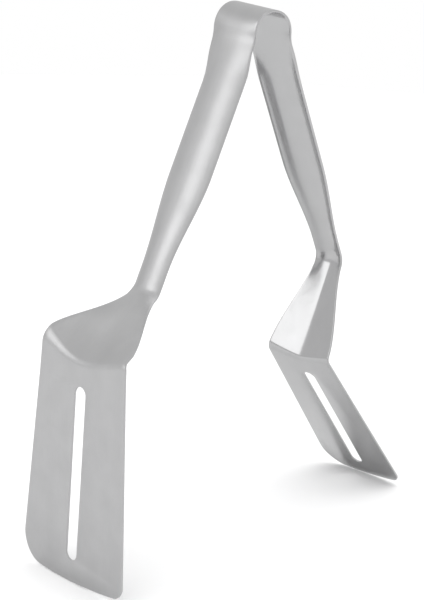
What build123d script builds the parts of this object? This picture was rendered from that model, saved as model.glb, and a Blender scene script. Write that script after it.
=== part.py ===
"""Spring-bow serving tongs with two slotted turner blades, folded from one steel strip.

Frame: +Z up, X across the spread of the arms, Y across the width of the strip.
The blade tips stand on z = 0 and the bow is at the top.
"""
import math
import os

from build123d import *

os.makedirs("parts", exist_ok=True)

# sheet
sheet = 1.0  # thickness of the steel strip
strip_width = 25.0  # width over the bow and the grips

# bow at the top
bow_radius = 12.7
bow_turn = 80.0  # degrees the strip turns away from level on each side
reverse_radius = 20.0  # gentle bend back out into the grip
bow_crown = 1.2  # height of the trough where the bow meets the grip

# grips
lean = 25.8  # degrees between a grip and the axis of the bow, at rest
grip_length = 114.9  # from the bow to the corner at the neck
grip_crown = 3.7  # height of the trough along the grip
crown_run = 25.0  # length over which the trough deepens
taper_start = 62.0
neck_width = 16.0
neck_crown = 2.6

# arms, both cranked the same way so that the blades nest
neck_radius = 8.0
fold_radius = 4.0
fold_dip = 3.8  # depth of the valley pressed into the shoulder and the fold
left_arm = {
    "neck_turn": 34.4,
    "shoulder_length": 40.0,
    "fold_turn": 56.5,
    "widths": (52.6, 66.0),  # at the fold and at the tip
}
right_arm = {
    "neck_turn": 51.4,
    "shoulder_length": 50.4,
    "fold_turn": 63.9,
    "widths": (38.8, 50.1),
}

# blades
front_length = 97.0  # from the fold corner along the edge towards -Y
back_length = 99.0  # along the edge towards +Y
blade_cut = 9.0  # flat plate starts this far below the fold corner
front_corner = 5.0
back_corner = 13.0
tip_bulge = 2.4
slot_start = 14.9
slot_end = 91.0
slot_width = 7.0

# stance: the tongs lean a little so that both tips stand on the table
stance = 1.24
crest_place = -4.86
crest_height = 242.66


def settle(at, angle):
    """Place and angle in the finished frame of a point measured from the crest of the bow."""
    turn = math.radians(stance)
    out = at[0] * math.cos(turn) - at[1] * math.sin(turn)
    up = at[0] * math.sin(turn) + at[1] * math.cos(turn)
    return (crest_place + out, crest_height + up), angle + stance


def down(angle):
    """Unit vector in XZ that points down and leans to +X by the angle."""
    return (math.sin(math.radians(angle)), -math.cos(math.radians(angle)))


def ease(value):
    value = min(max(value, 0.0), 1.0)
    return value * value * (3 - 2 * value)


def mix(first, second, share):
    return first + (second - first) * share


def step_on(start, way, distance):
    return (start[0] + way[0] * distance, start[1] + way[1] * distance)


def section(at, angle, width, crown, lift=0.0):
    """Slice of the sheet square to the strip; a positive crown bulges to the local +Y side."""
    at, angle = settle(at, angle)
    heading = down(angle)
    plane = Plane(origin=(at[0], 0, at[1]), x_dir=(0, 1, 0), z_dir=(heading[0], 0, heading[1]))
    slope = math.atan2(4 * crown, width)
    half = sheet / 2
    with BuildSketch(plane, mode=Mode.PRIVATE) as cut:
        with BuildLine():
            ends = {}
            for name, shift in (("outer", half), ("inner", -half)):
                reach = width / 2 + shift * math.sin(slope)
                level = shift * math.cos(slope) + lift
                middle = 2 * (crown + shift + lift) - level
                Bezier((-reach, level), (0, middle), (reach, level))
                ends[name] = (reach, level)
            for side in (-1, 1):
                outer, inner = ends["outer"], ends["inner"]
                Line((side * outer[0], outer[1]), (side * inner[0], inner[1]))
        make_face()
    return cut.sketch


# bow profile from the crest down one side: distance out, depth, angle from the axis
bow_side = []
for step in range(9):
    turn = bow_turn * step / 8
    out = bow_radius * math.sin(math.radians(turn))
    depth = bow_radius * (1 - math.cos(math.radians(turn)))
    bow_side.append((out, depth, 90 - turn))
start_out, start_depth, _ = bow_side[-1]
reverse_turn = bow_turn - (90 - lean)
for step in range(1, 4):
    turn = bow_turn - reverse_turn * step / 3
    out = start_out + reverse_radius * (
        math.sin(math.radians(bow_turn)) - math.sin(math.radians(turn))
    )
    depth = start_depth + reverse_radius * (
        math.cos(math.radians(turn)) - math.cos(math.radians(bow_turn))
    )
    bow_side.append((out, depth, 90 - turn))
grip_out, grip_depth, _ = bow_side[-1]

# ---------------------------------------------------------------- spring bow
with BuildPart() as spring_bow:
    stations = [(-out, depth, 180 - angle) for out, depth, angle in reversed(bow_side)]
    stations += bow_side[1:]
    cuts = []
    for out, depth, angle in stations:
        crown = bow_crown * ease((depth - 2.0) / (grip_depth - 2.0)) + 0.001
        cuts.append(section((out, -depth), angle, strip_width, crown, -crown))
    loft(sections=cuts)
spring_bow.part.label = "spring_bow"
export_step(spring_bow.part, "parts/spring_bow.step")


def grip_section(along, side, start, angle):
    """Slice of a grip at a distance along it."""
    narrow = ease((along - taper_start) / (grip_length - taper_start - 2))
    rise = ease(along / crown_run)
    crown = side * mix(mix(bow_crown, grip_crown, rise), neck_crown, narrow)
    width = mix(strip_width, neck_width, narrow)
    return section(step_on(start, down(angle), along), angle, width, crown, -crown)


def corner_point(corner, way_in, radius, angle_in, turn, share):
    """Point and angle on a rounded corner of the path, a share of the way round."""
    sense = 1 if turn > 0 else -1
    reach = radius * math.tan(math.radians(abs(turn) / 2))
    begin = step_on(corner, way_in, -reach)
    angle = math.radians(abs(turn) * share)
    at = step_on(begin, way_in, radius * math.sin(angle))
    normal = (-way_in[1] * sense, way_in[0] * sense)
    return step_on(at, normal, radius * (1 - math.cos(angle))), angle_in + turn * share


def build_arm(side, name, arm):
    length, widths = arm["shoulder_length"], arm["widths"]
    neck_turn, fold_turn = arm["neck_turn"], arm["fold_turn"]
    grip_angle = side * lean
    shoulder_angle = grip_angle - neck_turn
    blade_angle = shoulder_angle + fold_turn
    grip_way, shoulder_way, blade_way = map(down, (grip_angle, shoulder_angle, blade_angle))
    start = (side * grip_out, -grip_depth)

    # the crown of the grip is straight; the shoulder follows the edges of the strip
    across = (-grip_way[1], grip_way[0])
    edge_start = step_on(start, across, -side * neck_crown)
    neck = step_on(edge_start, grip_way, grip_length)
    fold = step_on(neck, shoulder_way, length)
    neck_reach = neck_radius * math.tan(math.radians(neck_turn / 2))
    fold_reach = fold_radius * math.tan(math.radians(fold_turn / 2))

    def width_at(along):
        """Width between the neck and the fold: a hollow flare, then a rounded corner."""
        share = along / length
        return mix(neck_width, widths[0], 0.78 * ease(share) + 0.22 * share)

    def crown_at(along):
        """The neck's trough runs out into the valley of the shoulder."""
        return mix(side * neck_crown, fold_dip, ease(along / (0.8 * length)))

    with BuildPart() as handle:
        count = 13
        cuts = []
        for step in range(count + 1):
            along = (grip_length - neck_reach) * step / count
            cuts.append(grip_section(along, side, start, grip_angle))
        loft(sections=cuts)
    handle.part.label = name + "_handle"
    export_step(handle.part, "parts/" + name + "_handle.step")

    with BuildPart() as shoulder:
        cuts = []
        for step in range(9):
            share = step / 8
            at, angle = corner_point(neck, grip_way, neck_radius, grip_angle, -neck_turn, share)
            width = mix(neck_width, width_at(neck_reach), ease(share))
            crown = mix(side * neck_crown, crown_at(neck_reach), share)
            cuts.append(section(at, angle, width, crown))
        flat = length - neck_reach - fold_reach
        for step in range(1, 17):
            along = neck_reach + flat * step / 16
            at = step_on(neck, shoulder_way, along)
            cuts.append(section(at, shoulder_angle, width_at(along), crown_at(along)))
        for step in range(1, 8):
            share = step / 8
            at, angle = corner_point(
                fold, shoulder_way, fold_radius, shoulder_angle, fold_turn, share
            )
            crown = fold_dip * (1 + 0.13 * math.sin(math.pi * share) - 0.1 * share)
            after = mix(*widths, fold_reach / front_length)
            cuts.append(section(at, angle, mix(width_at(length - fold_reach), after, share), crown))
        for step in range(9):
            below = mix(fold_reach, blade_cut, step / 8)
            at = step_on(fold, blade_way, below)
            crown = fold_dip * 0.9 * (1 - ease(step / 8)) + 0.001
            cuts.append(section(at, blade_angle, mix(*widths, below / front_length), crown))
        loft(sections=cuts, ruled=True)
    shoulder.part.label = name + "_shoulder"
    export_step(shoulder.part, "parts/" + name + "_shoulder.step")

    # local X runs to +Y and local Y runs up the blade
    corner, turned = settle(fold, blade_angle)
    way = down(turned)
    plane = Plane(origin=(corner[0], 0, corner[1]), x_dir=(0, 1, 0), z_dir=(-way[1], 0, way[0]))
    top_half = mix(*widths, blade_cut / front_length) / 2
    end_half = widths[1] / 2
    with BuildPart() as blade:
        with BuildSketch(plane):
            with BuildLine():
                top_left, top_right = (-top_half, -blade_cut), (top_half, -blade_cut)
                low_left, low_right = (-end_half, -front_length), (end_half, -back_length)
                middle = (0, -(front_length + back_length) / 2 - tip_bulge)
                Line(top_left, top_right)
                Line(top_right, low_right)
                ThreePointArc(low_right, middle, low_left)
                Line(low_left, top_left)
            make_face()
        extrude(amount=sheet / 2, both=True)
        edges = blade.edges().filter_by(Axis((0, 0, 0), plane.z_dir))
        low = edges.sort_by(lambda edge: plane.to_local_coords(edge.center()).Y)[:2]
        front, back = low.sort_by(Axis.Y)
        fillet(front, front_corner)
        fillet(back, back_corner)
        with BuildSketch(plane):
            with Locations((0, -(slot_start + slot_end) / 2)):
                SlotOverall(slot_end - slot_start, slot_width, rotation=90)
        extrude(amount=sheet, both=True, mode=Mode.SUBTRACT)
    blade.part.label = name + "_blade"
    export_step(blade.part, "parts/" + name + "_blade.step")
    return handle, shoulder, blade


left_handle, left_shoulder, left_blade = build_arm(-1, "left", left_arm)
right_handle, right_shoulder, right_blade = build_arm(1, "right", right_arm)
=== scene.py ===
import math

import bmesh
import bpy
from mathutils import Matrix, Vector


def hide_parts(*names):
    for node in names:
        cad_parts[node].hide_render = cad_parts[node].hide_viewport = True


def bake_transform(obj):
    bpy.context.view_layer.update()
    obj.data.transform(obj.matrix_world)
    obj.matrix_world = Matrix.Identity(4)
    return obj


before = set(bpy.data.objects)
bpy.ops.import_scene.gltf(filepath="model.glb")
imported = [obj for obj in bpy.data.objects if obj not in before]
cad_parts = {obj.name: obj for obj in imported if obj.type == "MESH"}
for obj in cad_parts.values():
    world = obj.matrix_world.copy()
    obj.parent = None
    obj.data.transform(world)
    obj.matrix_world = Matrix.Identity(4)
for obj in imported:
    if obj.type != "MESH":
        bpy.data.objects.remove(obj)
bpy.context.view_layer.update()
print("stage: frame loaded")

mm = 0.001
near = 1e-6      # metres, for places that should be the same
hair = 0.01      # millimetres, the same along the blank
rowMatch = 0.03  # millimetres, a vertex that belongs to a row
shareMatch = 0.004

# what both arms share, in millimetres and degrees, measured from the crest of the bow
strip = {
    "thickness": 1.0,
    "width": 25.0,
    "columns": 24,          # faces across the strip
    "bowRadius": 12.7,
    "bowTurn": 80.0,
    "bowRows": 18,
    "reverseRadius": 20.0,
    "reverseRows": 6,
    "bowCrown": 1.8,
    "flatTop": 0.3,         # the crest's own flat line
    "crownDepth": 2.0,      # the bow's crown starts this far below the crest
    "reverseFall": 0.96,    # fall for each millimetre along the reverse bend
    "leastCrown": 0.02,
    "leastValley": 0.08,
    "lean": 25.8,
    "gripLength": 114.9,
    "gripRows": 34,
    "gripCrown": 3.7,
    "crownRun": 16.0,
    "taperStart": 60.0,
    "taperEnd": 104.0,
    "neckWidth": 16.0,
    "neckCrown": 2.6,
    "neckRows": 10,
    "shoulderRows": 20,
    "flare": (0.78, 0.22),  # the shoulder's widening: the curved part, the straight part
    "valleyAt": 0.85,       # where along the shoulder the valley is at its deepest
    "creaseLeft": 0.7,      # share of the shoulder's flat run below the crease's onset
    "foldRows": 12,
    "runOutRows": 6,
    "flatStart": 13.0,      # the blade is one flat face from here down
    "flatRow": 1.0,
    "troughPower": 2.4,     # how flat the floor of the trough is
    "rimBevel": 0.17,
    "rimAngle": 60.0,
    "smoothAngle": 40.0,
    "tipCuts": 23,
    "cornerSteps": 12,
    "seamReach": 0.04,      # edges this near the seam, and above the height, keep their corner
    "seamHeight": 230.0,
}

# the pose in which the tongs stand on their two tips
stance = {"turn": 1.24, "place": -4.86, "height": 242.66}
bowTilt = {"turn": -8.5, "rise": 0.5, "reach": 34.0, "top": 3.0}


def ease(value):
    value = min(max(value, 0.0), 1.0)
    return value * value * (3 - 2 * value)


def mix(first, second, share):
    return first + (second - first) * share


def deselectAll():
    if bpy.context.object and bpy.context.object.mode != "OBJECT":
        bpy.ops.object.mode_set(mode="OBJECT")
    bpy.ops.object.select_all(action="DESELECT")


def pickOnly(piece):
    deselectAll()
    piece.select_set(True)
    bpy.context.view_layer.objects.active = piece


# selects in edit mode what the test keeps; kind is "verts", "edges" or "faces"
def selectBy(piece, kind, test):
    bpy.ops.mesh.select_mode(type={"verts": "VERT", "edges": "EDGE", "faces": "FACE"}[kind])
    bpy.ops.mesh.select_all(action="DESELECT")
    mesh = bmesh.from_edit_mesh(piece.data)
    for item in getattr(mesh, kind):
        if test(item):
            item.select_set(True)
    mesh.select_flush_mode()
    bmesh.update_edit_mesh(piece.data)


# rotate has no window here, so the angle is given the other way round
def turnAbout(angle, centre):
    bpy.ops.transform.rotate(value=-angle, orient_axis="Y", orient_type="GLOBAL",
                             center_override=centre)


# from the blank's own place to the pose on two tips
def standOnTips():
    turnAbout(-math.radians(stance["turn"]), (0, 0, 0))
    bpy.ops.transform.translate(value=(stance["place"] * mm, 0, stance["height"] * mm))


# depth of a soft crease at a share of the half width
def creaseAt(share, soft):
    return 1 - (math.hypot(share, soft) - soft) / (math.hypot(1, soft) - soft)


# rows of the flat blank: distance from the crest, half width, crown, level of the edges
def layOutRows(arm):
    lean = strip["lean"]
    side = arm["side"]
    rows = []
    bends = []
    bowLength = strip["bowRadius"] * math.radians(strip["bowTurn"])
    reverseTurn = strip["bowTurn"] - (90 - lean)
    reverseLength = strip["reverseRadius"] * math.radians(reverseTurn)
    gripStart = bowLength + reverseLength
    depthAt = strip["bowRadius"] * (1 - math.cos(math.radians(strip["bowTurn"])))

    def bowCrownAt(along):
        share = min(along / bowLength, 1.0)
        depth = strip["bowRadius"] * (1 - math.cos(math.radians(strip["bowTurn"] * share)))
        if along > bowLength:
            depth += (along - bowLength) * strip["reverseFall"]
        total = depthAt + reverseLength * strip["reverseFall"]
        top = strip["crownDepth"]
        return max(strip["bowCrown"] * ease((depth - top) / (total - top)), strip["leastCrown"])

    half = strip["width"] / 2
    rows.append((0.0, half, strip["leastCrown"], -strip["leastCrown"]))
    flatTop = strip["flatTop"]
    bowLines = []
    for step in range(strip["bowRows"] + 1):
        along = flatTop + (bowLength - flatTop) * step / strip["bowRows"]
        crown = bowCrownAt(along)
        rows.append((along, half, crown, -crown))
        bowLines.append(along)
    bends.append((bowLines, strip["bowTurn"], 0.0))
    reverseLines = [bowLength]
    for step in range(1, strip["reverseRows"] + 1):
        along = bowLength + reverseLength * step / strip["reverseRows"]
        crown = bowCrownAt(along)
        rows.append((along, half, crown, -crown))
        reverseLines.append(along)
    bends.append((reverseLines, -reverseTurn, 0.0))

    neckReach = arm["neckRadius"] * math.tan(math.radians(abs(arm["neckTurn"]) / 2))
    foldReach = arm["foldRadius"] * math.tan(math.radians(abs(arm["foldTurn"]) / 2))
    gripRun = strip["gripLength"] - neckReach
    for step in range(1, strip["gripRows"] + 1):
        along = gripRun * step / strip["gripRows"]
        narrow = ease((along - strip["taperStart"]) / (strip["taperEnd"] - strip["taperStart"]))
        rise = ease(along / strip["crownRun"])
        crown = mix(mix(strip["bowCrown"], strip["gripCrown"], rise), strip["neckCrown"], narrow)
        width = mix(strip["width"], strip["neckWidth"], narrow)
        rows.append((gripStart + along, width / 2, crown, -crown))

    level = -strip["neckCrown"]
    length = arm["shoulderLength"]

    def widthAt(along):
        share = along / length
        curved, straight = strip["flare"]
        return mix(strip["neckWidth"], arm["widths"][0], curved * ease(share) + straight * share)

    def crownAt(along):
        deepest = strip["valleyAt"] * length
        crown = mix(strip["neckCrown"], side * arm["valley"], ease(along / deepest))
        least = strip["leastValley"]
        return crown if abs(crown) > least else math.copysign(least, crown)

    here = gripStart + gripRun
    neckLines = [here]
    neckLength = arm["neckRadius"] * math.radians(abs(arm["neckTurn"]))
    for step in range(1, strip["neckRows"] + 1):
        share = step / strip["neckRows"]
        width = mix(strip["neckWidth"], widthAt(neckReach), ease(share))
        crown = mix(strip["neckCrown"], crownAt(neckReach), share)
        rows.append((here + neckLength * share, width / 2, crown, level))
        neckLines.append(here + neckLength * share)
    bends.append((neckLines, arm["neckTurn"], level))
    here += neckLength

    flatRun = length - neckReach - foldReach
    for step in range(1, strip["shoulderRows"] + 1):
        along = neckReach + flatRun * step / strip["shoulderRows"]
        rows.append((here + along - neckReach, widthAt(along) / 2, crownAt(along), level))
    here += flatRun
    arm["shoulderSpan"] = (here - flatRun, here)
    arm["creaseSpan"] = (here - flatRun - neckLength, here - strip["creaseLeft"] * flatRun)

    foldLines = [here]
    foldLength = arm["foldRadius"] * math.radians(abs(arm["foldTurn"]))
    arm["foldFirst"] = len(rows) - 1
    for step in range(1, strip["foldRows"] + 1):
        share = step / strip["foldRows"]
        after = mix(*arm["widths"], foldReach / arm["frontLength"])
        width = mix(widthAt(length - foldReach), after, share)
        rows.append((here + foldLength * share, width / 2, rows[-1][2], level))
        foldLines.append(here + foldLength * share)
    bends.append((foldLines, arm["foldTurn"], level))
    here += foldLength

    for step in range(1, strip["runOutRows"] + 1):
        below = mix(foldReach, strip["flatStart"], step / strip["runOutRows"])
        width = mix(*arm["widths"], below / arm["frontLength"])
        rows.append((here + below - foldReach, width / 2, rows[-1][2], level))
    arm["foldReach"] = foldReach
    return rows, bends


# the crest end of the blank: a narrow plane, cut into columns, grown row by row to the tip
def growBlank(name, arm, rows):
    side = arm["side"]
    deselectAll()
    firstStep = rows[1][0]
    bpy.ops.mesh.primitive_plane_add(size=1, location=(side * firstStep / 2 * mm, 0, 0))
    piece = bpy.context.object
    piece.name = name
    piece.scale = (firstStep * mm, strip["width"] * mm, 1)
    bpy.ops.object.transform_apply(location=True, rotation=True, scale=True)
    bpy.ops.object.mode_set(mode="EDIT")
    selectBy(piece, "edges", lambda e: abs(e.verts[0].co.x - e.verts[1].co.x) < near)
    bpy.ops.mesh.subdivide(number_cuts=strip["columns"] - 1)
    bpy.ops.mesh.select_all(action="DESELECT")
    half = strip["width"] / 2
    for column in range(strip["columns"] + 1):
        place = -half + strip["width"] * column / strip["columns"]
        lift = rows[0][2] * (1 - abs(place / half) ** strip["troughPower"]) + rows[0][3]
        selectBy(piece, "verts", lambda v: abs(v.co.y - place * mm) < near)
        bpy.ops.transform.translate(value=(0, 0, lift * mm))

    # each new row is stretched to its width and crown
    selectBy(piece, "verts", lambda v: abs(v.co.x - side * firstStep * mm) < near)
    bpy.ops.mesh.select_mode(type="EDGE")
    for before, row in zip(rows[1:], rows[2:]):
        bpy.ops.mesh.extrude_region_move(TRANSFORM_OT_translate={
            "value": (side * (row[0] - before[0]) * mm, 0, (row[3] - before[3]) * mm)})
        bpy.ops.transform.resize(
            value=(1, row[1] / before[1], row[2] / before[2]),
            center_override=(side * row[0] * mm, 0, row[3] * mm))

    # two last flat rows, then the blade as one face down to the tip
    top = rows[-1]
    bpy.ops.transform.resize(value=(1, 1, 0),
                             center_override=(side * top[0] * mm, 0, top[3] * mm))
    widthSlope = (arm["widths"][1] - arm["widths"][0]) / arm["frontLength"] / 2
    bladeRun = arm["frontLength"] - strip["flatStart"] - strip["flatRow"]
    for distance in (strip["flatRow"], bladeRun):
        nextHalf = top[1] + widthSlope * distance
        bpy.ops.mesh.extrude_region_move(TRANSFORM_OT_translate={
            "value": (side * distance * mm, 0, 0)})
        bpy.ops.transform.resize(
            value=(1, nextHalf / top[1], 1),
            center_override=(side * (top[0] + distance) * mm, 0, top[3] * mm))
        top = (top[0] + distance, nextHalf, 0, top[3])
    blankEnd = top[0] - arm["frontLength"] + strip["flatStart"] + strip["flatRow"]
    selectBy(piece, "faces", lambda f: abs(f.calc_center_median().x) > (blankEnd + 1) * mm)
    bpy.ops.mesh.dissolve_faces()
    selectBy(piece, "verts", lambda v: abs(abs(v.co.x) - top[0] * mm) < near
             and abs(v.co.y) < (top[1] - 0.5) * mm)
    bpy.ops.mesh.dissolve_verts()
    return piece, top[0], top[1]


# the tip: back corner longer, both corners rounded, the end swelled
def shapeTip(piece, arm, tipPlace, tipHalf):
    side = arm["side"]
    selectBy(piece, "verts", lambda v: abs(abs(v.co.x) - tipPlace * mm) < near and v.co.y > 0)
    longer = arm["backLength"] - arm["frontLength"]
    bpy.ops.transform.translate(value=(side * longer * mm, 0, 0))
    for sign, radius in ((-1, arm["frontCorner"]), (1, arm["backCorner"])):
        selectBy(piece, "verts", lambda v: abs(v.co.x) > (tipPlace - 0.5) * mm
                 and v.co.y * sign > (tipHalf - 1.0) * mm)
        bpy.ops.mesh.bevel(offset=radius * mm, affect="VERTICES", segments=strip["cornerSteps"])
    ends = [v.co.y for v in bmesh.from_edit_mesh(piece.data).verts
            if abs(v.co.x) > (tipPlace - 0.4) * mm]
    selectBy(piece, "edges", lambda e: e.calc_length() > 20 * mm
             and min(abs(v.co.x) for v in e.verts) > (tipPlace - 1.0) * mm)
    bpy.ops.mesh.subdivide(number_cuts=strip["tipCuts"])
    middle = (min(ends) + max(ends)) / 2
    tipVerts = [v for v in bmesh.from_edit_mesh(piece.data).verts
                if abs(v.co.x) > (tipPlace - arm["backCorner"]) * mm]
    nearest = min(tipVerts, key=lambda v: abs(v.co.y - middle)).index
    selectBy(piece, "verts", lambda v: v.index == nearest)
    bpy.ops.transform.translate(
        value=(side * arm["tipBulge"] * mm, 0, 0), use_proportional_edit=True,
        proportional_edit_falloff="INVERSE_SQUARE", proportional_size=tipHalf * mm)


# the map of the flat blank keeps the grain running along the strip
def mapBlank(piece, arm):
    sheetMap = piece.data.uv_layers.new(name="blankMap")
    for loop in piece.data.loops:
        spot = piece.data.vertices[loop.vertex_index].co
        across = spot.y * arm["side"] * 10 + 5 * arm["mapShift"]
        sheetMap.data[loop.index].uv = (abs(spot.x) * 10, across)


def giveSteel(piece):
    for kind in ("satin", "polished", "edge"):
        piece.data.materials.append(steel[kind])


# the outer face is the one that looks up on top of the bow
def faceOutwards(piece):
    bpy.ops.mesh.select_all(action="SELECT")
    bpy.ops.mesh.normals_make_consistent(inside=False)
    bpy.ops.object.mode_set(mode="OBJECT")
    outwards = sum(f.normal.z * f.area for f in piece.data.polygons
                   if f.center.z > (stance["height"] - 6) * mm)
    if outwards < 0:
        bpy.ops.object.mode_set(mode="EDIT")
        bpy.ops.mesh.flip_normals()
        bpy.ops.object.mode_set(mode="OBJECT")


# wall thickness, then the slot is punched
def thickenAndPunch(piece, arm, spot, heading):
    wall = piece.modifiers.new("sheetThickness", "SOLIDIFY")
    wall.thickness = strip["thickness"] * mm
    wall.offset = 0
    wall.use_even_offset = True
    wall.material_offset = 1
    wall.material_offset_rim = 2
    bpy.ops.object.modifier_apply(modifier=wall.name)
    punch = makeSlotPunch(arm, spot, heading)
    pickOnly(piece)
    cut = piece.modifiers.new("slot", "BOOLEAN")
    cut.operation = "DIFFERENCE"
    cut.solver = "EXACT"
    cut.object = punch
    bpy.ops.object.modifier_apply(modifier=cut.name)
    bpy.data.objects.remove(punch)


# every rim is broken a little, but not the end that meets the other arm
def breakRims(piece, arm):
    bpy.ops.object.mode_set(mode="EDIT")
    bpy.ops.mesh.select_mode(type="EDGE")
    bpy.ops.mesh.select_all(action="DESELECT")
    bpy.ops.mesh.edges_select_sharp(sharpness=math.radians(strip["rimAngle"]))
    mesh = bmesh.from_edit_mesh(piece.data)
    for edge in mesh.edges:
        away = max(abs(v.co.x - arm["seam"]) for v in edge.verts)
        low = min(v.co.z for v in edge.verts)
        if away < strip["seamReach"] * mm and low > strip["seamHeight"] * mm:
            edge.select_set(False)
    bmesh.update_edit_mesh(piece.data)
    bpy.ops.mesh.bevel(offset=strip["rimBevel"] * mm, segments=2, affect="EDGES")
    bpy.ops.object.mode_set(mode="OBJECT")
    bpy.ops.object.shade_smooth_by_angle(angle=math.radians(strip["smoothAngle"]))


def makeArm(name, arm):
    rows, bends = layOutRows(arm)
    piece, tipPlace, tipHalf = growBlank(name, arm, rows)
    shapeTip(piece, arm, tipPlace, tipHalf)
    bpy.ops.object.mode_set(mode="OBJECT")
    mapBlank(piece, arm)
    giveSteel(piece)

    # each vertex keeps its place on the blank: along, and its share of the half width
    blank = [(abs(v.co.x) / mm, v.co.y / mm) for v in piece.data.vertices]
    rowOf = [next((n for n, row in enumerate(rows) if abs(row[0] - x) < rowMatch), None)
             for x, y in blank]
    shareOf = [None if n is None else max(-1.0, min(1.0, y / rows[n][1]))
               for n, (x, y) in zip(rowOf, blank)]
    bpy.ops.object.mode_set(mode="EDIT")
    creaseShoulder(piece, arm, blank, shareOf, rows[-1][0])
    spot, heading = foldSheet(piece, arm["side"], bends, blank)
    settleFold(piece, arm, blank, rowOf, shareOf, spot, heading)
    bpy.ops.mesh.select_all(action="SELECT")
    standOnTips()
    tipBow(piece, blank)
    faceOutwards(piece)
    thickenAndPunch(piece, arm, spot, heading)
    breakRims(piece, arm)
    print("stage:", name, "made with", len(piece.data.polygons), "faces")
    return piece


# the shoulder's trough is pressed into a soft crease
def creaseShoulder(piece, arm, blank, shareOf, last):
    soft = arm["creaseSoft"]
    start, end = arm["creaseSpan"]
    columns = sorted({round(abs(u), 3) for u in shareOf if u is not None})
    steps = 6
    for share in columns:
        if share < 0.01 or share > 0.99:
            continue
        rounded = 1 - share ** strip["troughPower"]
        creased = creaseAt(share, soft)
        for step in range(steps):
            low = mix(start, end, step / steps)
            high = mix(start, end, (step + 1) / steps) if step < steps - 1 else last
            amount = ease((step + 1) / steps)
            selectBy(piece, "verts", lambda v: shareOf[v.index] is not None
                     and abs(abs(shareOf[v.index]) - share) < shareMatch
                     and low + hair < blank[v.index][0] < high + hair)
            bpy.ops.transform.resize(
                value=(1, 1, mix(rounded, creased, amount) / rounded),
                center_override=(0, 0, -strip["neckCrown"] * mm))


# folding line by line, everything beyond the line at once
def foldSheet(piece, side, bends, blank):
    heading = 0.0
    spot = Vector((0.0, 0.0))
    travelled = 0.0
    level = 0.0
    for lines, turn, bendLevel in bends:
        # the bending line moves across the sheet where the edges lead and not the crown
        if bendLevel != level:
            spot += Vector((math.sin(heading), math.cos(heading))) * (bendLevel - level)
            level = bendLevel
        count = len(lines) - 1
        for number, line in enumerate(lines):
            spot += Vector((math.cos(heading), -math.sin(heading))) * (line - travelled)
            travelled = line
            part = math.radians(turn) / count * (0.5 if number in (0, count) else 1.0)
            selectBy(piece, "verts", lambda v: blank[v.index][0] > line + hair)
            turnAbout(side * part, (side * spot.x * mm, 0, spot.y * mm))
            heading += part
    return spot, heading


# the blade stays flat, and the fold line follows the shoulder's crease across it
def settleFold(piece, arm, blank, rowOf, shareOf, spot, heading):
    side = arm["side"]
    turn = math.radians(arm["foldTurn"])
    before = heading - turn
    along = Vector((math.cos(heading), -math.sin(heading)))
    above = Vector((math.cos(before), -math.sin(before)))
    up = Vector((math.sin(before), math.cos(before)))
    corner = spot - along * arm["foldReach"]

    def dropAt(share):
        middle = arm["valley"] / abs(math.sin(turn)) * creaseAt(share, arm["creaseSoft"])
        lifted = arm["farLift"] * max(share, 0.0) ** 2
        return middle - lifted

    count = strip["foldRows"]
    mesh = bmesh.from_edit_mesh(piece.data)
    mesh.verts.ensure_lookup_table()
    targets = []
    for number, share in enumerate(shareOf):
        if share is None:
            continue
        step = rowOf[number] - arm["foldFirst"]
        drop = dropAt(share)
        radius = mix(arm["foldTight"], arm["foldRadius"], max(share, 0.0) ** 2)
        reach = radius * math.tan(abs(turn) / 2)
        if 0 <= step <= count:
            # part of a circle between the shoulder's line and the blade's
            radius *= 1 if turn > 0 else -1
            centre = corner + along * drop - above * reach - up * radius
            way = before + turn * step / count
            targets.append((number, centre + Vector((math.sin(way), math.cos(way))) * radius))
        elif count < step <= count + strip["runOutRows"]:
            part = (step - count) / strip["runOutRows"]
            targets.append((number, corner + along * mix(drop + reach, strip["flatStart"], part)))
    # the shoulder reaches up to its fold line, and its far wing rises with it
    start, end = arm["shoulderSpan"]
    for number, share in enumerate(shareOf):
        place = blank[number][0]
        if share is None or not start + hair < place < end - hair:
            continue
        part = (place - start) / (end - start)
        now = mesh.verts[number].co
        here = Vector((now.x * side, now.z)) / mm
        here += above * dropAt(share) * math.cos(turn) * part ** 3
        lift = arm["farLift"] * math.sin(turn) * max(share, 0.0) ** 2
        targets.append((number, here + up * lift * ease(part)))
    bpy.ops.mesh.select_mode(type="VERT")
    for number, target in targets:
        mesh = bmesh.from_edit_mesh(piece.data)
        mesh.verts.ensure_lookup_table()
        vert = mesh.verts[number]
        gap = Vector((target.x * side * mm - vert.co.x, 0, target.y * mm - vert.co.z))
        if gap.length < near / 10:
            continue
        bpy.ops.mesh.select_all(action="DESELECT")
        mesh.verts.ensure_lookup_table()
        mesh.verts[number].select_set(True)
        bmesh.update_edit_mesh(piece.data, loop_triangles=False)
        bpy.ops.transform.translate(value=gap)


# the bow sits a little askew over the arms
def tipBow(piece, blank):
    selectBy(piece, "verts", lambda v: blank[v.index][0] < bowTilt["top"])
    soft = {"use_proportional_edit": True, "proportional_edit_falloff": "SMOOTH",
            "proportional_size": bowTilt["reach"] * mm}
    bpy.ops.transform.rotate(
        value=math.radians(bowTilt["turn"]), orient_axis="X", orient_type="GLOBAL",
        center_override=(stance["place"] * mm, 0, stance["height"] * mm), **soft)
    bpy.ops.transform.translate(value=(0, 0, bowTilt["rise"] * mm), **soft)


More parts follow.
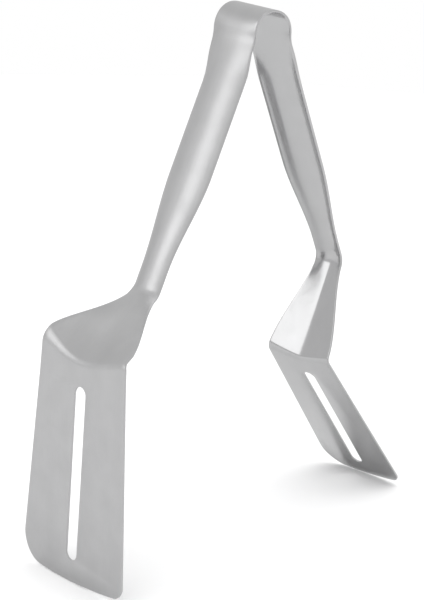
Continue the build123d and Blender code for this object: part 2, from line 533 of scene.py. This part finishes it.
def makeSlotPunch(arm, spot, heading):
    side = arm["side"]
    start = arm["slotStart"] - arm["foldReach"]
    end = arm["slotEnd"] - arm["foldReach"]
    radius = arm["slotWidth"] / 2
    deselectAll()
    bpy.ops.mesh.primitive_cylinder_add(vertices=48, radius=radius * mm, depth=6 * mm,
                                        location=(side * (start + radius) * mm, 0, 0))
    punch = bpy.context.object
    bpy.ops.object.transform_apply(location=True, rotation=True, scale=True)
    giveSteel(punch)
    for face in punch.data.polygons:
        face.material_index = 2
    bpy.ops.object.mode_set(mode="EDIT")
    selectBy(punch, "verts", lambda v: abs(v.co.x) > (start + radius) * mm + near)
    bpy.ops.transform.translate(value=(side * (end - start - 2 * radius) * mm, 0, 0))
    bpy.ops.mesh.select_all(action="SELECT")
    turnAbout(side * heading, (0, 0, 0))
    bpy.ops.transform.translate(value=(side * spot.x * mm, 0, spot.y * mm))
    standOnTips()
    bpy.ops.object.mode_set(mode="OBJECT")
    return punch


# a shader node group with named inputs and outputs
def newGroup(name, inputs, outputs):
    group = bpy.data.node_groups.new(name, "ShaderNodeTree")
    for label, kind, value in inputs:
        socket = group.interface.new_socket(name=label, in_out="INPUT", socket_type=kind)
        socket.default_value = value
    for label, kind in outputs:
        group.interface.new_socket(name=label, in_out="OUTPUT", socket_type=kind)
    nodes = group.nodes
    return group, nodes.new("NodeGroupInput"), nodes.new("NodeGroupOutput")


def mathNode(tree, operation, first, second):
    node = tree.nodes.new("ShaderNodeMath")
    node.operation = operation
    for socket, value in zip(node.inputs, (first, second)):
        if isinstance(value, (int, float)):
            socket.default_value = value
        else:
            tree.links.new(value, socket)
    return node.outputs[0]


def noiseNode(tree, **settings):
    node = tree.nodes.new("ShaderNodeTexNoise")
    for label, value in settings.items():
        node.inputs[label].default_value = value
    return node


# a mask that rises from 0 to 1 between two ends
def bandNode(tree, value, ends):
    node = tree.nodes.new("ShaderNodeMapRange")
    node.inputs["From Min"].default_value, node.inputs["From Max"].default_value = ends
    tree.links.new(value, node.inputs["Value"])
    return node.outputs["Result"]


# one colour, and another for the rays named; both are a colour or an output
def colourByRay(tree, rays, usual, special):
    path = tree.nodes.new("ShaderNodeLightPath")
    choose = tree.nodes.new("ShaderNodeMix")
    choose.data_type = "RGBA"
    sockets = {socket.identifier: socket for socket in (*choose.inputs, *choose.outputs)}
    tree.links.new(path.outputs[rays], choose.inputs["Factor"])
    for label, colour in (("A_Color", usual), ("B_Color", special)):
        if isinstance(colour, tuple):
            sockets[label].default_value = (*colour, 1)
        else:
            tree.links.new(colour, sockets[label])
    return sockets["Result_Color"]


grainLook = {"stretch": (7, 420, 1), "detail": 5, "roughness": 0.62, "cloudSize": 9,
             "cloudDetail": 3}


# fine lines left by the rolling and brushing, long along the strip
def makeGrainGroup():
    group, entry, leave = newGroup(
        "rollGrain",
        [("Vector", "NodeSocketVector", (0, 0, 0)), ("Fineness", "NodeSocketFloat", 1.0)],
        [("Lines", "NodeSocketFloat"), ("Cloud", "NodeSocketFloat")])
    stretch = group.nodes.new("ShaderNodeMapping")
    stretch.inputs["Scale"].default_value = grainLook["stretch"]
    lines = noiseNode(group, Detail=grainLook["detail"], Roughness=grainLook["roughness"])
    cloud = noiseNode(group, Scale=grainLook["cloudSize"], Detail=grainLook["cloudDetail"])
    group.links.new(entry.outputs["Vector"], stretch.inputs["Vector"])
    group.links.new(stretch.outputs["Vector"], lines.inputs["Vector"])
    group.links.new(entry.outputs["Fineness"], lines.inputs["Scale"])
    group.links.new(entry.outputs["Vector"], cloud.inputs["Vector"])
    group.links.new(lines.outputs["Fac"], leave.inputs["Lines"])
    group.links.new(cloud.outputs["Fac"], leave.inputs["Cloud"])
    return group


marksLook = {
    "smearSize": 6.0,
    "smearDetail": 4,
    "smearSwirl": 1.4,
    "smearBand": (0.5, 0.68),
    "scuffStretch": (3, 60, 1),
    "scuffTurn": 0.08,
    "scuffSize": 8,
    "scuffDetail": 2,
    "scuffBand": (0.62, 0.72),
}


# smears and rubbed patches left by handling and wiping
def makeMarksGroup():
    look = marksLook
    group, entry, leave = newGroup(
        "handlingMarks",
        [("Vector", "NodeSocketVector", (0, 0, 0)),
         ("Size", "NodeSocketFloat", look["smearSize"])],
        [("Smear", "NodeSocketFloat"), ("Scuff", "NodeSocketFloat")])
    smear = noiseNode(group, Detail=look["smearDetail"], Distortion=look["smearSwirl"])
    group.links.new(entry.outputs["Vector"], smear.inputs["Vector"])
    group.links.new(entry.outputs["Size"], smear.inputs["Scale"])
    group.links.new(bandNode(group, smear.outputs["Fac"], look["smearBand"]),
                    leave.inputs["Smear"])
    stretch = group.nodes.new("ShaderNodeMapping")
    stretch.inputs["Scale"].default_value = look["scuffStretch"]
    stretch.inputs["Rotation"].default_value = (0, 0, look["scuffTurn"])
    scratch = noiseNode(group, Scale=look["scuffSize"], Detail=look["scuffDetail"])
    group.links.new(entry.outputs["Vector"], stretch.inputs["Vector"])
    group.links.new(stretch.outputs["Vector"], scratch.inputs["Vector"])
    group.links.new(bandNode(group, scratch.outputs["Fac"], look["scuffBand"]),
                    leave.inputs["Scuff"])
    return group


steelFinish = {
    "satin": {"colour": (0.50, 0.50, 0.504), "spread": 0.03, "roughness": 0.37, "swing": 0.16,
              "bump": 0.22, "fineness": 1.0, "smear": 0.035, "scuff": 0.05},
    "polished": {"colour": (0.485, 0.485, 0.489), "spread": 0.02, "roughness": 0.19, "swing": 0.07,
                 "bump": 0.07, "fineness": 1.4, "smear": 0.045, "scuff": 0.07},
    "edge": {"colour": (0.52, 0.52, 0.524), "spread": 0.03, "roughness": 0.34, "swing": 0.1,
             "bump": 0.03, "fineness": 0.6, "smear": 0.02, "scuff": 0.1},
}
toneStops = (0.3, 0.7)      # where in the grain the dark and the pale tone are reached
grainDepth = 0.0002         # metres


def makeSteel(name, finish, grain, marks):
    material = bpy.data.materials.new(name)
    material.use_nodes = True
    tree = material.node_tree
    shader = tree.nodes["Principled BSDF"]
    shader.inputs["Metallic"].default_value = 1.0
    sheet = tree.nodes.new("ShaderNodeUVMap")
    sheet.uv_map = "blankMap"
    lines = tree.nodes.new("ShaderNodeGroup")
    lines.node_tree = grain
    lines.inputs["Fineness"].default_value = finish["fineness"]
    tree.links.new(sheet.outputs["UV"], lines.inputs["Vector"])
    tone = tree.nodes.new("ShaderNodeValToRGB")
    spread = finish["spread"]
    for stop, place, sign in zip(tone.color_ramp.elements, toneStops, (-1, 1)):
        stop.position = place
        stop.color = [c + sign * spread for c in finish["colour"]] + [1]
    both = mathNode(tree, "ADD", lines.outputs["Cloud"], lines.outputs["Lines"])
    tree.links.new(mathNode(tree, "MULTIPLY", both, 0.5), tone.inputs["Fac"])
    tree.links.new(tone.outputs["Color"], shader.inputs["Base Color"])
    swing = mathNode(tree, "MULTIPLY", lines.outputs["Lines"], finish["swing"])
    rough = mathNode(tree, "ADD", swing, finish["roughness"] - finish["swing"] / 2)
    handled = tree.nodes.new("ShaderNodeGroup")
    handled.node_tree = marks
    tree.links.new(sheet.outputs["UV"], handled.inputs["Vector"])
    smeared = mathNode(tree, "MULTIPLY", handled.outputs["Smear"], finish["smear"])
    scuffed = mathNode(tree, "MULTIPLY", handled.outputs["Scuff"], finish["scuff"])
    rough = mathNode(tree, "ADD", mathNode(tree, "ADD", rough, smeared), scuffed)
    tree.links.new(rough, shader.inputs["Roughness"])
    bump = tree.nodes.new("ShaderNodeBump")
    bump.inputs["Strength"].default_value = finish["bump"]
    bump.inputs["Distance"].default_value = grainDepth
    tree.links.new(lines.outputs["Lines"], bump.inputs["Height"])
    tree.links.new(bump.outputs["Normal"], shader.inputs["Normal"])
    return material


grainGroup = makeGrainGroup()
marksGroup = makeMarksGroup()
steel = {kind: makeSteel(kind + "Steel", finish, grainGroup, marksGroup)
         for kind, finish in steelFinish.items()}
print("stage: steel finishes made")

leftArm = {
    "side": -1,
    "mapShift": 1.0,
    "neckTurn": -34.4,
    "shoulderLength": 40.0,
    "foldTurn": 56.5,
    "widths": (52.6, 66.0),
    "frontLength": 97.0,
    "backLength": 99.0,
    "frontCorner": 5.0,
    "backCorner": 13.0,
    "tipBulge": 2.4,
    "slotStart": 14.9,
    "slotEnd": 91.0,
    "slotWidth": 7.0,
    "neckRadius": 12.0,
    "foldRadius": 8.0,
    "foldTight": 3.2,
    "valley": 3.9,
    "farLift": 4.2,
    "creaseSoft": 0.45,
    "seam": stance["place"] * mm,
}
rightArm = dict(
    leftArm,
    side=1,
    mapShift=2.0,
    neckTurn=51.4,
    shoulderLength=50.4,
    foldTurn=-63.9,
    widths=(38.8, 50.1),
    neckRadius=8.0,
    foldRadius=5.0,
    foldTight=3.0,
    valley=3.6,
    farLift=0.0,
    creaseSoft=0.14,
)

for name, arm in (("left", leftArm), ("right", rightArm)):
    skin = makeArm(name + "Arm", arm)
    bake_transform(skin)
    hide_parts("spring_bow", name + "_handle", name + "_shoulder", name + "_blade")

# pale table, lit by a bright room and soft cards
tableLook = {"width": 8.0, "colour": (0.9, 0.9, 0.902), "mirrored": (0.72, 0.72, 0.722),
             "roughness": 0.75}


def makeTable():
    deselectAll()
    bpy.ops.mesh.primitive_plane_add(size=tableLook["width"], location=(0, 0, 0))
    table = bpy.context.object
    table.name = "paleTable"
    material = bpy.data.materials.new("paleCard")
    material.use_nodes = True
    tree = material.node_tree
    shader = tree.nodes["Principled BSDF"]
    shader.inputs["Roughness"].default_value = tableLook["roughness"]
    # duller in the mirror of the steel than to the eye
    tone = colourByRay(tree, "Is Glossy Ray", tableLook["colour"], tableLook["mirrored"])
    tree.links.new(tone, shader.inputs["Base Color"])
    table.data.materials.append(material)


makeTable()


def addToScene(name, data, at):
    holder = bpy.data.objects.new(name, data)
    bpy.context.scene.collection.objects.link(holder)
    holder.location = at
    return holder


# cards: where they stand, what they face, their size in metres and their brightness
cards = {
    "leftCard": {"at": (-1.3, 0.38, 0.93), "aim": (-0.05, 0, 0.15), "size": (1.1, 1.0),
                 "glow": 1.1},
    "topCard": {"at": (0.1, -0.2, 1.7), "aim": (0, 0, 0.1), "size": (1.2, 1.2),
                "glow": 0.7},
}
for name, card in cards.items():
    lamp = bpy.data.lights.new(name, "AREA")
    lamp.shape = "RECTANGLE"
    lamp.size, lamp.size_y = card["size"]
    lamp.energy = card["glow"] * math.pi * card["size"][0] * card["size"][1]
    holder = addToScene(name, lamp, card["at"])
    way = Vector(card["aim"]) - Vector(card["at"])
    holder.rotation_euler = way.to_track_quat("-Z", "Y").to_euler()
    holder.visible_camera = False

# an even fill on the table that the steel doesn't mirror
tableFill = {"at": (0, 0, 2), "strength": 1.5, "spread": 120}
fillLight = bpy.data.lights.new("tableFill", "SUN")
fillLight.energy = tableFill["strength"]
fillLight.angle = math.radians(tableFill["spread"])
addToScene("tableFill", fillLight, tableFill["at"]).visible_glossy = False

# the room: brightness from straight down, past the horizon, to straight up
room = {
    "levels": ((0.0, 0.75), (0.49, 0.82), (0.58, 0.78), (0.8, 0.86), (0.9, 0.8), (1.0, 0.6)),
    "behind": (1, 1, 1),
}


def makeRoom():
    world = bpy.data.worlds.new("softRoom")
    bpy.context.scene.world = world
    world.use_nodes = True
    tree = world.node_tree
    way = tree.nodes.new("ShaderNodeTexCoord")
    split = tree.nodes.new("ShaderNodeSeparateXYZ")
    tree.links.new(way.outputs["Generated"], split.inputs["Vector"])
    height = mathNode(tree, "ADD", mathNode(tree, "MULTIPLY", split.outputs["Z"], 0.5), 0.5)
    ramp = tree.nodes.new("ShaderNodeValToRGB")
    # the stops are made at their places first, because they are kept in order
    for place, level in room["levels"][1:-1]:
        ramp.color_ramp.elements.new(place)
    for stop, (place, level) in zip(ramp.color_ramp.elements, room["levels"]):
        stop.color = (level, level, level, 1)
    tree.links.new(height, ramp.inputs["Fac"])
    tone = colourByRay(tree, "Is Camera Ray", ramp.outputs["Color"], room["behind"])
    tree.links.new(tone, tree.nodes["Background"].inputs["Color"])


makeRoom()
print("stage: table and lights set")

view = {"at": (-0.40563, -0.36814, 0.23205), "turn": (77.336, -2.579, -45.480), "lens": 72.03}
eye = bpy.data.cameras.new("studioEye")
eye.sensor_fit = "VERTICAL"
eye.sensor_height = 36
eye.lens = view["lens"]
eye.clip_start = 0.01
eyeHolder = addToScene("studioEye", eye, view["at"])
eyeHolder.rotation_euler = [math.radians(a) for a in view["turn"]]
bpy.context.scene.camera = eyeHolder
bpy.context.scene.view_settings.view_transform = "Standard"
print("stage: camera set")
